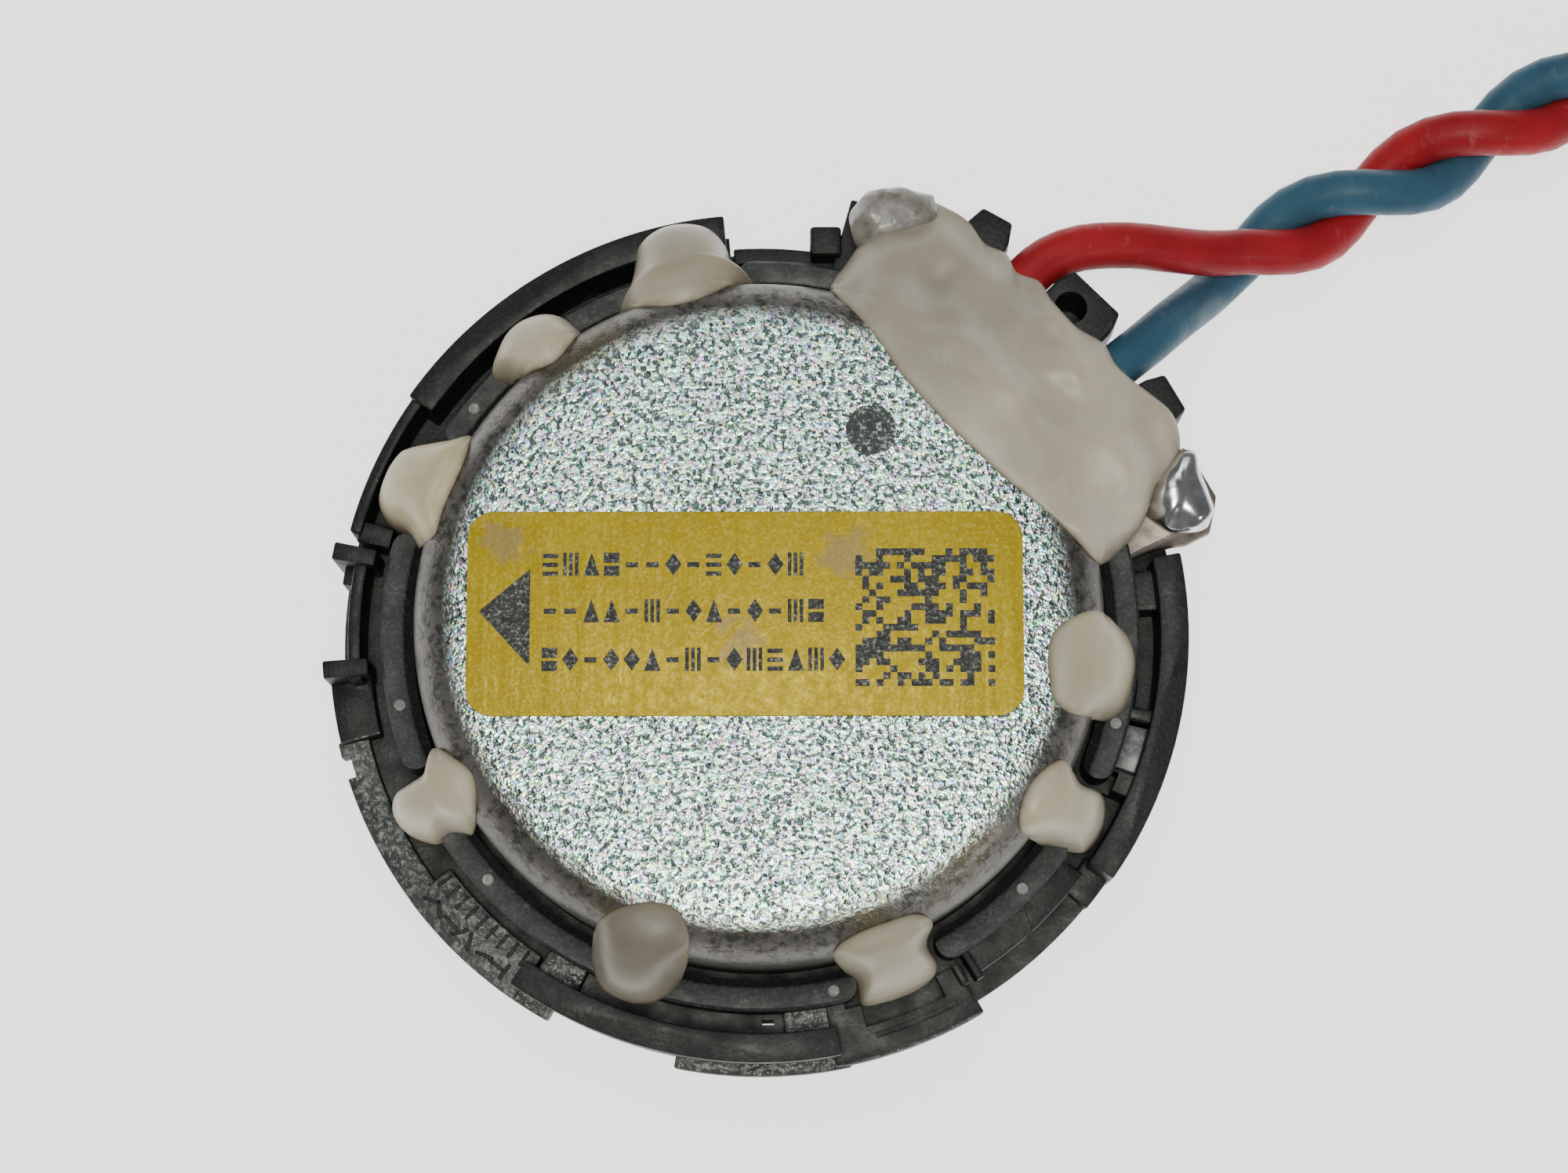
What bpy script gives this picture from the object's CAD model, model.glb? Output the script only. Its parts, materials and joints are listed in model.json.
"""Looks for a small moving-coil drive unit (car tweeter) that lies on its front.

Lengths are in millimetres and angles in degrees, counted from +X towards +Y. The helpers turn them
into metres. +Z points out of the back, and the origin is on the axis at the front face.
"""

import json
import math
import random

import bmesh
import bpy
from mathutils import Matrix, Vector, noise

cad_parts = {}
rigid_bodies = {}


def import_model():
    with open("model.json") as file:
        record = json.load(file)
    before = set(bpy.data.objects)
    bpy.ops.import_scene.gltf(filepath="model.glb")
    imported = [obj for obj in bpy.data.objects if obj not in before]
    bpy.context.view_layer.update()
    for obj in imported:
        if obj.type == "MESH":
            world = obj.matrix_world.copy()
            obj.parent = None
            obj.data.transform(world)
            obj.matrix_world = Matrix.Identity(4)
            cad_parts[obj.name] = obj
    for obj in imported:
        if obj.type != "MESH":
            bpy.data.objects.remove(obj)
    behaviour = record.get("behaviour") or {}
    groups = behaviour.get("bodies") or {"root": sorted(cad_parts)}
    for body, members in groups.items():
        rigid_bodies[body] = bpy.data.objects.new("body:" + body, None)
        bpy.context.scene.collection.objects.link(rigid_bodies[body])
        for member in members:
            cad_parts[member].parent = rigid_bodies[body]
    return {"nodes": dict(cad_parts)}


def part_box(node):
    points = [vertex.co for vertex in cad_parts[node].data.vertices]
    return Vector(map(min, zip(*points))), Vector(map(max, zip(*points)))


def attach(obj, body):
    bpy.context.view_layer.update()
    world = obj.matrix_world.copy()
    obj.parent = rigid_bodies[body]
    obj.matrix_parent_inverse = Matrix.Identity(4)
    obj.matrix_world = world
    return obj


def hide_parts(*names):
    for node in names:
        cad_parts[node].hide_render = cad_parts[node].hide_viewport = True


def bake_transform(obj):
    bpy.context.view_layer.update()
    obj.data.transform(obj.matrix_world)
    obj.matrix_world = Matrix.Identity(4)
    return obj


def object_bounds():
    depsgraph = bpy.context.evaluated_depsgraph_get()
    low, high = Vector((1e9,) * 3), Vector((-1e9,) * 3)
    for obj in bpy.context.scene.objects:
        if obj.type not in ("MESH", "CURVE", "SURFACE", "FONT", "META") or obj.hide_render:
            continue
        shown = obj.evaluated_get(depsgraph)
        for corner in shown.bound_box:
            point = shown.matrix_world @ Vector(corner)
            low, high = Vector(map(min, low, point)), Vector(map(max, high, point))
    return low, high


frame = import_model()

CAD_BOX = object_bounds()
MM = 0.001
BODY = "frame"

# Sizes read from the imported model
CUP_OUTER_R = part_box("magnet_cup")[1].x / MM
CUP_FACE_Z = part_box("magnet_cup")[1].z / MM
CUP_RIM_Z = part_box("magnet_cup")[0].z / MM
LABEL_LOW, LABEL_HIGH = (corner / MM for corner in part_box("rear_label"))
INK_LOW, INK_HIGH = (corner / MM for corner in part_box("ink_dot"))
PLUG_LOW, PLUG_HIGH = (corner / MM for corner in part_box("connector_housing"))

# Sizes of the frame, as in the CAD
CUP_FLAT_R = 14.7
CUP_BORE_R = 15.0
SHOULDER_R = CUP_OUTER_R - CUP_FLAT_R
COLLAR_TOP_Z = 8.2
COLLAR_IN_R = 17.5
COLLAR_OUT_R = 19.1
WALL_IN_R = 20.15
WALL_OUT_R = 21.6
WALL_TOP_Z = 8.0
FLANGE_TOP_Z = 5.0
FLANGE_R = 22.2
FLOOR_Z = 4.2
SPIGOT_END_Z = 3.4
RIM_FRONT_Z = 1.05
BODY_R = 21.4
COMB_FLOOR_Z = 5.6
TOOTH_TOP_Z = 8.1
UPPER_LUG = 74.5
LOWER_LUG = 17.0
LUG_TOP_Z = 8.0
LEAD_D = 2.4

# The view
CAMERA_PLACE = (2.6, -26.6, 181.1)
CAMERA_AIM = (1.264, 1.338, 13.2)
CAMERA_LENS = 79.9
FLOOR_GLOW = 1.4
FLOOR_DROP = -0.03


# ------------------------------------------------------------------ points and meshes

def polar(radius, angle, z=0.0):
    turn = math.radians(angle)
    return (radius * math.cos(turn), radius * math.sin(turn), z)


def metres(point):
    return Vector(point) * MM


def lerp(a, b, t):
    return a + (b - a) * t


def smooth_step(low, high, value):
    t = min(1.0, max(0.0, (value - low) / (high - low)))
    return t * t * (3 - 2 * t)


def catmull(before, a, b, after, t):
    return 0.5 * (2 * a + (b - before) * t + (2 * before - 5 * a + 4 * b - after) * t * t
                  + (3 * a - before - 3 * b + after) * t**3)


def closed_curve(points, count):
    """count points on a smooth closed curve through the given ones."""
    knots = [Vector(p) for p in points]
    size = len(knots)
    result = []
    for i in range(count):
        whole, t = divmod(i * size / count, 1)
        k = int(whole)
        result.append(catmull(knots[k - 1], knots[k], knots[(k + 1) % size], knots[(k + 2) % size], t))
    return result


def open_curve(points, spacing):
    """Points about one spacing apart on a smooth curve through the given ones."""
    knots = [Vector(p) for p in points]
    knots = [2 * knots[0] - knots[1], *knots, 2 * knots[-1] - knots[-2]]
    result = []
    for before, a, b, after in zip(knots, knots[1:], knots[2:], knots[3:]):
        steps = max(1, round((b - a).length / spacing))
        result += [catmull(before, a, b, after, i / steps) for i in range(steps)]
    return result + [knots[-2]]


def finish_mesh(shape, name, sharp=35):
    """Turn a bmesh in millimetres into a shaded mesh in metres."""
    bmesh.ops.recalc_face_normals(shape, faces=shape.faces)
    bmesh.ops.scale(shape, vec=Vector((MM, MM, MM)), verts=shape.verts)
    mesh = bpy.data.meshes.new(name)
    shape.to_mesh(mesh)
    shape.free()
    mesh.shade_smooth()
    mesh.set_sharp_from_angle(angle=math.radians(sharp))
    return mesh


def shape_from(verts, faces):
    shape = bmesh.new()
    rows = [shape.verts.new(v) for v in verts]
    for face in faces:
        shape.faces.new([rows[i] for i in face])
    return shape


def turned(profile, steps=180, closed=False, at=(0, 0, 0)):
    """Revolve (radius, z) points about Z, as a bmesh."""
    verts = []
    faces = []
    rows = []
    for radius, z in profile:
        first = len(verts)
        if radius == 0:
            rows.append([first] * steps)
            verts.append((0.0, 0.0, z))
        else:
            rows.append(list(range(first, first + steps)))
            verts += [polar(radius, 360 * i / steps, z) for i in range(steps)]
    pairs = list(zip(rows, rows[1:]))
    if closed:
        pairs.append((rows[-1], rows[0]))
    for row, following in pairs:
        for i in range(steps):
            j = (i + 1) % steps
            face = (row[i], following[i], following[j], row[j])
            faces.append(tuple(dict.fromkeys(face)))
    moved = [tuple(Vector(v) + Vector(at)) for v in verts]
    return shape_from(moved, faces)


def extruded(outline, low, high, edge=0.12, segments=2):
    """A flat outline between two heights with rounded edges, as a bmesh."""
    count = len(outline)
    verts = [(x, y, low) for x, y in outline] + [(x, y, high) for x, y in outline]
    faces = [tuple(reversed(range(count))), tuple(range(count, 2 * count))]
    faces += [(i, (i + 1) % count, count + (i + 1) % count, count + i) for i in range(count)]
    shape = shape_from(verts, faces)
    bmesh.ops.recalc_face_normals(shape, faces=shape.faces)
    if edge:
        round_edges(shape, edge, segments)
    return shape


def round_edges(shape, edge, segments=2, above=25):
    sharp = [e for e in shape.edges if len(e.link_faces) == 2 and e.calc_face_angle() > math.radians(above)]
    bmesh.ops.bevel(
        shape, geom=sharp, offset=edge, segments=segments, profile=0.5, affect="EDGES", clamp_overlap=True
    )


def arc(radius, start, end):
    """Points every 2 degrees or so."""
    count = max(1, round(abs(end - start) / 2))
    return [polar(radius, start + (end - start) * i / count)[:2] for i in range(count + 1)]


def sector(r_in, r_out, start, end, low, high, edge=0.12):
    return extruded(arc(r_out, start, end) + arc(r_in, end, start), low, high, edge)


def block(size, centre, turn=0.0, edge=0.12):
    """A box with rounded edges, turned about Z."""
    sx, sy, sz = (s / 2 for s in size)
    outline = [(-sx, -sy), (sx, -sy), (sx, sy), (-sx, sy)]
    shape = extruded(outline, -sz, sz, edge)
    place = Matrix.Translation(centre) @ Matrix.Rotation(math.radians(turn), 4, "Z")
    bmesh.ops.transform(shape, matrix=place, verts=shape.verts)
    return shape


def turn_about_z(shape, angle):
    bmesh.ops.transform(shape, matrix=Matrix.Rotation(math.radians(angle), 4, "Z"), verts=shape.verts)
    return shape


def circle(radius, centre, count=24):
    return [(centre[0] + radius * math.cos(t), centre[1] + radius * math.sin(t))
            for t in (2 * math.pi * i / count for i in range(count))]


def carved(name, base, additions, cuts, sharp=30):
    """Join shapes to a base and cut others from it, and return one clean mesh."""
    scene = bpy.context.scene.collection

    def temporary(shape):
        item = bpy.data.objects.new("temporary", finish_mesh(shape, "temporary"))
        scene.objects.link(item)
        return item

    target = temporary(base)
    groups = []
    for operation, shapes in (("UNION", additions), ("DIFFERENCE", cuts)):
        if not shapes:
            continue
        group = bpy.data.collections.new(operation)
        scene.children.link(group)
        for shape in shapes:
            item = temporary(shape)
            scene.objects.unlink(item)
            group.objects.link(item)
        change = target.modifiers.new(operation, "BOOLEAN")
        change.operand_type = "COLLECTION"
        change.collection = group
        change.operation = operation
        change.solver = "EXACT"
        groups.append(group)
    bpy.context.view_layer.update()
    mesh = bpy.data.meshes.new_from_object(target.evaluated_get(bpy.context.evaluated_depsgraph_get()))
    mesh.name = name
    for item in [target, *(o for group in groups for o in group.objects)]:
        bpy.data.objects.remove(item, do_unlink=True)
    for group in groups:
        bpy.data.collections.remove(group)
    mesh.shade_smooth()
    mesh.set_sharp_from_angle(angle=math.radians(sharp))
    return mesh


def piece(name, mesh, material, replaces=(), body=BODY):
    item = bpy.data.objects.new(name, mesh)
    bpy.context.scene.collection.objects.link(item)
    mesh.materials.clear()
    for each in material if isinstance(material, (list, tuple)) else [material]:
        mesh.materials.append(each)
    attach(item, body)
    if replaces:
        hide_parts(*replaces)
    return item


# ------------------------------------------------------------------ material nodes

class Look:
    """A small helper round one material's node tree. Feature sizes are in millimetres."""

    def __init__(self, name, roughness=0.5, metallic=0.0, **fixed):
        self.material = bpy.data.materials.new(name)
        self.material.use_nodes = True
        self.tree = self.material.node_tree
        self.shader = self.tree.nodes["Principled BSDF"]
        self.shader.inputs["Roughness"].default_value = roughness
        self.shader.inputs["Metallic"].default_value = metallic
        for socket, value in fixed.items():
            self.shader.inputs[socket.replace("_", " ")].default_value = value
        self.place = self.node("TexCoord").outputs["Object"]

    def node(self, kind, inputs=None, **settings):
        item = self.tree.nodes.new("ShaderNode" + kind)
        for key, value in settings.items():
            setattr(item, key, value)
        for key, value in (inputs or {}).items():
            if isinstance(value, bpy.types.NodeSocket):
                self.tree.links.new(value, item.inputs[key])
            else:
                item.inputs[key].default_value = value
        return item

    def stretched(self, x, y, z):
        mapping = self.node("Mapping", {"Vector": self.place, "Scale": (x, y, z)})
        return mapping.outputs["Vector"]

    def noise(self, size, detail=2.0, rough=0.5, where=None, distortion=0.0):
        inputs = {"Vector": where or self.place, "Scale": 1000.0 / size, "Detail": detail,
                  "Roughness": rough, "Distortion": distortion}
        return self.node("TexNoise", inputs).outputs["Fac"]

    def hues(self, size, detail=0.0):
        return self.node("TexNoise", {"Vector": self.place, "Scale": 1000.0 / size, "Detail": detail}).outputs["Color"]

    def cells(self, size, output="Distance"):
        return self.node("TexVoronoi", {"Vector": self.place, "Scale": 1000.0 / size}).outputs[output]

    def ramp(self, value, low, high, start=0.0, end=1.0):
        inputs = {"Value": value, "From Min": low, "From Max": high, "To Min": start, "To Max": end}
        return self.node("MapRange", inputs).outputs["Result"]

    def math(self, operation, a, b=0.0):
        return self.node("Math", {0: a, 1: b}, operation=operation).outputs[0]

    def mix(self, factor, a, b, mode="MIX"):
        a, b = (c if isinstance(c, bpy.types.NodeSocket) else (*c, 1.0) for c in (a, b))
        return self.node("Mix", {0: factor, 6: a, 7: b}, data_type="RGBA", blend_type=mode).outputs[2]

    def axis_distance(self, squash=(1, 1, 0), centre=(0, 0, 0)):
        """Distance in metres from a point, with each axis weighted."""
        moved = self.node("Mapping", {"Vector": self.place, "Location": tuple(-c * MM for c in centre)})
        flat = self.node("VectorMath", {0: moved.outputs[0], 1: squash}, operation="MULTIPLY").outputs[0]
        return self.node("VectorMath", {0: flat}, operation="LENGTH").outputs["Value"]

    def colour(self, value):
        self.tree.links.new(value, self.shader.inputs["Base Color"])

    def set(self, socket, value):
        self.tree.links.new(value, self.shader.inputs[socket])

    def bump(self, *layers):
        """Each layer is (height, depth in millimetres)."""
        normal = None
        for height, depth in layers:
            inputs = {"Height": height, "Distance": depth * MM, "Strength": 1.0}
            if normal:
                inputs["Normal"] = normal
            normal = self.node("Bump", inputs).outputs["Normal"]
        self.set("Normal", normal)


def moulded_plastic(name, dark, light, grain=0.22, depth=0.02, rough=(0.38, 0.62)):
    look = Look(name, IOR=1.5, Specular_IOR_Level=0.3)
    broad = look.noise(5.0, 3.0)
    fine = look.noise(grain, 2.0)
    tone = look.mix(look.ramp(broad, 0.3, 0.7), dark, light)
    tone = look.mix(look.ramp(fine, 0.5, 0.66, 0.0, 0.5), tone, tuple(2.2 * c for c in light))
    dust = look.ramp(look.noise(0.5, 4.0, 0.7), 0.60, 0.74, 0.0, 0.5)
    look.colour(look.mix(dust, tone, tuple(4.2 * c for c in light)))
    look.set("Roughness", look.ramp(look.noise(1.4, 3.0), 0.3, 0.7, *rough))
    look.bump((fine, depth), (look.noise(3.0), 0.02))
    return look.material


def zinc_plate():
    """Bright plating with an orange-peel sparkle on the flat, duller and stained on the shoulder."""
    look = Look("zinc_plate", metallic=1.0)
    reach = look.axis_distance()
    edge = look.ramp(reach, 14.6 * MM, 15.6 * MM)
    grain = look.noise(0.27, 1.0, 0.5, distortion=0.5)
    fine = look.noise(0.13, 1.0)
    tint = look.mix(0.6, (0.76, 0.95, 0.88), look.hues(0.3, 0.0), "LINEAR_LIGHT")
    lit = look.math("MULTIPLY", look.ramp(grain, 0.40, 0.57), look.ramp(fine, 0.25, 0.6, 0.4, 1.0))
    face = look.mix(lit, (0.065, 0.095, 0.087), tint)
    stain = look.ramp(look.noise(0.6, 4.0, 0.7), 0.48, 0.6, 0.0, 0.8)
    haze = look.mix(look.ramp(look.noise(4.0, 2.0), 0.35, 0.65), (0.21, 0.198, 0.19), (0.135, 0.127, 0.118))
    dull = look.mix(stain, haze, (0.045, 0.042, 0.038))
    brown = look.ramp(look.noise(6.0, 2.0), 0.56, 0.7, 0.0, 0.6)
    dull = look.mix(brown, dull, (0.17, 0.145, 0.065))
    dull = look.mix(look.ramp(reach, 16.3 * MM, 17.0 * MM, 0.0, 0.8), dull, (0.06, 0.057, 0.05))
    look.colour(look.mix(edge, face, dull))
    flat_rough = look.ramp(fine, 0.3, 0.7, 0.14, 0.34)
    mix_rough = look.node("Mix", {0: edge, 2: flat_rough, 3: 0.38}, data_type="FLOAT").outputs[0]
    look.set("Roughness", mix_rough)
    look.set("Metallic", look.ramp(reach, 14.8 * MM, 16.2 * MM, 1.0, 0.5))
    calm = look.ramp(reach, 14.4 * MM, 16.2 * MM, 1.0, 0.4)
    look.bump((look.math("MULTIPLY", grain, calm), 0.065), (look.math("MULTIPLY", fine, calm), 0.03))
    return look.material


def plain_steel(name, colour, rough=0.35):
    look = Look(name, metallic=1.0)
    streak = look.noise(0.3, 3.0, where=look.stretched(1, 6, 1))
    look.colour(look.mix(look.ramp(streak, 0.3, 0.7), colour, tuple(c * 0.7 for c in colour)))
    look.set("Roughness", look.ramp(look.noise(0.8, 3.0), 0.3, 0.7, rough - 0.1, rough + 0.15))
    look.bump((streak, 0.006))
    return look.material


def cream_glue(name, light=(0.55, 0.50, 0.38), dark=(0.40, 0.34, 0.22), yellow=0.3):
    look = Look(name, roughness=0.34, IOR=1.48, Subsurface_Weight=0.35, Subsurface_Scale=0.0012)
    look.shader.inputs["Subsurface Radius"].default_value = (1.0, 0.75, 0.45)
    cloud = look.ramp(look.noise(4.0, 3.0), 0.32, 0.68)
    tone = look.mix(cloud, light, tuple(lerp(a, b, 0.45) for a, b in zip(light, dark)))
    tone = look.mix(look.ramp(look.noise(14.0, 0.0), 0.42, 0.62, 0.0, 0.7), tone, tuple(0.5 * c for c in light))
    warm = look.math("MULTIPLY", look.ramp(look.noise(2.2, 2.0), 0.55, 0.75), yellow)
    tone = look.mix(warm, tone, (0.46, 0.37, 0.16))
    speck = look.ramp(look.noise(0.28, 2.0), 0.72, 0.76, 0.0, 0.5)
    tone = look.mix(speck, tone, (0.12, 0.10, 0.07))
    thin = look.node("Attribute", attribute_name="thin").outputs["Fac"]
    ragged = look.math("MULTIPLY", look.ramp(thin, 0.35, 1.0), look.ramp(look.noise(0.7, 3.0), 0.3, 0.6, 0.35, 1.0))
    look.colour(look.mix(ragged, tone, (0.25, 0.21, 0.14)))
    look.set("Roughness", look.ramp(look.noise(1.5, 2.0), 0.3, 0.7, 0.34, 0.55))
    look.bump((look.noise(1.6, 2.0), 0.035), (look.noise(0.25, 2.0), 0.006))
    return look.material


def cloudy_glue():
    look = Look("cloudy_glue", roughness=0.3, IOR=1.48, Subsurface_Weight=0.5, Subsurface_Scale=0.001)
    cloud = look.ramp(look.noise(1.2, 4.0, 0.65), 0.35, 0.65)
    look.colour(look.mix(cloud, (0.34, 0.33, 0.31), (0.16, 0.15, 0.13)))
    look.bump((look.noise(0.9, 3.0), 0.1))
    return look.material


def gold_foil():
    """Printed-label foil with a fine glitter, faint creases and two rubbed patches."""
    look = Look("gold_foil", metallic=0.2, IOR=1.5, Specular_IOR_Level=0.15)
    glitter = look.noise(0.16, 1.0)
    cloud = look.noise(6.0, 3.0)
    tone = look.mix(look.ramp(cloud, 0.3, 0.7), (0.50, 0.365, 0.014), (0.42, 0.300, 0.010))
    tone = look.mix(look.ramp(glitter, 0.52, 0.72, 0.0, 0.3), tone, (0.80, 0.66, 0.20))
    tone = look.mix(look.ramp(glitter, 0.48, 0.3, 0.0, 0.35), tone, (0.28, 0.20, 0.02))
    for centre, reach in (((-12.3, 3.7, 0), 1.1), ((4.4, 2.9, 0), 1.5), ((-1.0, -1.4, 0), 1.2)):
        ragged = look.math("ADD", look.axis_distance(centre=centre), look.ramp(look.noise(0.8, 4.0), 0.2, 0.8, -MM, MM))
        patch = look.ramp(ragged, reach * MM, 0.55 * reach * MM, 0.0, 0.6)
        tone = look.mix(patch, tone, (0.34, 0.25, 0.13))
    look.colour(tone)
    look.set("Roughness", look.ramp(look.noise(0.5, 2.0), 0.3, 0.7, 0.36, 0.56))
    crease = look.noise(1.3, 2.0, where=look.stretched(1.6, 0.14, 1))
    look.bump((crease, 0.07), (glitter, 0.02))
    return look.material


def speckled_ink(name, base=(0.018, 0.022, 0.022), speck=(0.30, 0.33, 0.32)):
    look = Look(name, IOR=1.5, metallic=0.3)
    grain = look.noise(0.2, 2.0, 0.6)
    look.colour(look.mix(look.ramp(grain, 0.54, 0.70), base, speck))
    look.set("Roughness", look.ramp(look.noise(0.3), 0.3, 0.7, 0.3, 0.6))
    look.bump((grain, 0.05))
    return look.material


def insulation(name, light, dark):
    look = Look(name, roughness=0.32, IOR=1.4, Specular_IOR_Level=0.2)
    cloud = look.ramp(look.noise(3.0, 3.0), 0.3, 0.7)
    tone = look.mix(cloud, light, dark)
    scuff = look.ramp(look.noise(0.9, 4.0, 0.7, where=look.stretched(1, 0.4, 1)), 0.6, 0.75)
    look.colour(look.mix(look.math("MULTIPLY", scuff, 0.3), tone, tuple(lerp(c, 0.6, 0.35) for c in light)))
    look.set("Roughness", look.ramp(look.noise(0.8, 3.0), 0.3, 0.7, 0.34, 0.50))
    look.bump((look.noise(0.35, 2.0), 0.01), (look.noise(2.5, 2.0), 0.05))
    return look.material


def bright_solder():
    look = Look("bright_solder", metallic=1.0)
    look.colour(look.mix(look.ramp(look.noise(0.7, 3.0), 0.35, 0.65), (0.80, 0.80, 0.82), (0.58, 0.56, 0.56)))
    look.set("Roughness", look.ramp(look.noise(0.8, 1.0), 0.3, 0.7, 0.14, 0.26))
    look.bump((look.noise(1.5, 0.0), 0.12))
    return look.material


def woven(name, light, dark, pitch=0.35):
    """A coated weave: two crossed waves."""
    look = Look(name, roughness=0.6)
    warp = look.node("TexWave", {"Vector": look.place, "Scale": 160.0 / pitch}, bands_direction="X").outputs["Fac"]
    weft = look.node("TexWave", {"Vector": look.place, "Scale": 160.0 / pitch}, bands_direction="Y").outputs["Fac"]
    weave = look.math("MULTIPLY", warp, weft)
    look.colour(look.mix(look.ramp(look.noise(3.0, 3.0), 0.3, 0.7), look.mix(weave, dark, light), dark))
    look.set("Roughness", look.ramp(weave, 0.0, 1.0, 0.7, 0.45))
    look.bump((weave, 0.03))
    return look.material


def soft_grain(name, light, dark, size=0.4, depth=0.12, rough=0.95):
    """Foam or felt."""
    look = Look(name, roughness=rough)
    pores = look.cells(size)
    look.colour(look.mix(look.ramp(pores, 0.1, 0.7), dark, light))
    look.bump((pores, depth), (look.noise(0.2, 3.0), 0.03))
    return look.material


def wound_wire():
    """Enamelled copper with one groove for each turn of wire."""
    look = Look("wound_wire", metallic=0.9, roughness=0.3)
    turns = look.node("TexWave", {"Vector": look.place, "Scale": 1300.0}, bands_direction="Z").outputs["Fac"]
    look.colour(look.mix(turns, (0.30, 0.09, 0.03), (0.78, 0.32, 0.12)))
    look.set("Roughness", look.ramp(look.noise(0.8), 0.3, 0.7, 0.22, 0.4))
    look.bump((turns, 0.03))
    return look.material


def amber_film():
    look = Look("amber_film", roughness=0.3, IOR=1.6)
    look.colour(look.mix(look.ramp(look.noise(3.0, 2.0), 0.3, 0.7), (0.50, 0.27, 0.07), (0.38, 0.19, 0.05)))
    look.set("Roughness", look.ramp(look.noise(1.0), 0.3, 0.7, 0.25, 0.4))
    look.bump((look.noise(1.5), 0.01))
    return look.material


BLACK = moulded_plastic("black_moulding", (0.006, 0.0075, 0.0075), (0.012, 0.014, 0.014))
COLLAR = moulded_plastic("satin_collar", (0.017, 0.0195, 0.0195), (0.030, 0.034, 0.034), 0.18, 0.014)
TEXTURED = moulded_plastic("textured_flange", (0.012, 0.015, 0.014), (0.10, 0.107, 0.104), 0.5, 0.16, (0.25, 0.45))
TAB = moulded_plastic("smooth_tab", (0.10, 0.105, 0.11), (0.15, 0.155, 0.165), 0.4, 0.004, (0.2, 0.3))
PIN_MARK = moulded_plastic("ejector_mark", (0.16, 0.165, 0.165), (0.22, 0.225, 0.225))
GRILLE = moulded_plastic("grille_moulding", (0.020, 0.021, 0.022), (0.030, 0.031, 0.032), 0.3, 0.03)
ZINC = zinc_plate()
STEEL = plain_steel("pole_steel", (0.50, 0.50, 0.49))
NICKEL = plain_steel("nickel_skin", (0.62, 0.60, 0.56), 0.25)
TIN = plain_steel("tin_plate", (0.50, 0.47, 0.42), 0.38)
LUG_TIN = plain_steel("aged_tin", (0.25, 0.21, 0.18), 0.42)
GLUE = cream_glue("cream_glue")
GLUE_GREY = cream_glue("grey_glue", (0.22, 0.195, 0.155), (0.12, 0.105, 0.08), 0.2)
GLUE_YELLOW = cream_glue("aged_glue", (0.56, 0.50, 0.34), (0.42, 0.35, 0.19), 0.6)
POTTING = cream_glue("potting_glue", (0.58, 0.52, 0.41), (0.27, 0.235, 0.175), 0.1)
CLOUDY = cloudy_glue()
FOIL = gold_foil()
INK = speckled_ink("speckled_ink", (0.010, 0.012, 0.012), (0.20, 0.20, 0.16))
DOT_INK = speckled_ink("dot_ink", (0.022, 0.032, 0.03), (0.42, 0.48, 0.46))
RED = insulation("red_insulation", (0.37, 0.018, 0.024), (0.27, 0.012, 0.018))
BLUE = insulation("blue_insulation", (0.042, 0.112, 0.170), (0.028, 0.082, 0.13))
SOLDER = bright_solder()
COPPER = wound_wire()
FILM = amber_film()
SILK = woven("coated_silk", (0.075, 0.075, 0.08), (0.03, 0.03, 0.034))
FOAM = soft_grain("gasket_foam", (0.075, 0.075, 0.075), (0.02, 0.02, 0.02))
FELT = soft_grain("pad_felt", (0.26, 0.26, 0.25), (0.12, 0.12, 0.12), 0.25)
PLUG = moulded_plastic("plug_moulding", (0.020, 0.020, 0.021), (0.032, 0.032, 0.033), 0.3, 0.015)
LOCK = moulded_plastic("lock_moulding", (0.42, 0.40, 0.34), (0.50, 0.48, 0.42), 0.3, 0.01)


# ------------------------------------------------------------------ camera, light and floor

def add_camera():
    data = bpy.data.cameras.new("camera")
    data.lens = CAMERA_LENS
    data.sensor_width = 36.0
    data.clip_start = 0.005
    forward = (Vector(CAMERA_AIM) - Vector(CAMERA_PLACE)).normalized()
    right = forward.cross(Vector((0, 1, 0))).normalized()
    up = right.cross(forward)
    item = bpy.data.objects.new("camera", data)
    bpy.context.scene.collection.objects.link(item)
    turn = Matrix((right, up, -forward)).transposed().to_4x4()
    item.matrix_world = Matrix.Translation(metres(CAMERA_PLACE)) @ turn
    bpy.context.scene.camera = item


def area_light(name, place, aim, size, watts, colour=(1, 1, 1)):
    data = bpy.data.lights.new(name, "AREA")
    data.shape = "DISK"
    data.size = size * MM
    data.energy = watts
    data.color = colour
    item = bpy.data.objects.new(name, data)
    bpy.context.scene.collection.objects.link(item)
    item.location = metres(place)
    item.rotation_euler = (metres(aim) - metres(place)).to_track_quat("-Z", "Y").to_euler()


def add_studio():
    world = bpy.data.worlds.new("studio")
    bpy.context.scene.world = world
    world.use_nodes = True
    background = world.node_tree.nodes["Background"]
    background.inputs["Color"].default_value = (0.93, 0.97, 1.0, 1.0)
    background.inputs["Strength"].default_value = 0.16
    area_light("softbox", (0, -45, 430), (0, 0, 10), 150, 0.74, (1.0, 0.995, 0.98))
    area_light("ceiling", (-60, 330, 700), (0, 0, 10), 420, 1.05, (0.97, 0.99, 1.0))
    area_light("warm_fill", (5, -85, 420), (0, -10, 10), 60, 0.40, (1.0, 0.97, 0.68))
    area_light("window", (230, -210, 240), (10, -10, 10), 45, 0.20, (0.88, 0.94, 1.0))


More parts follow.
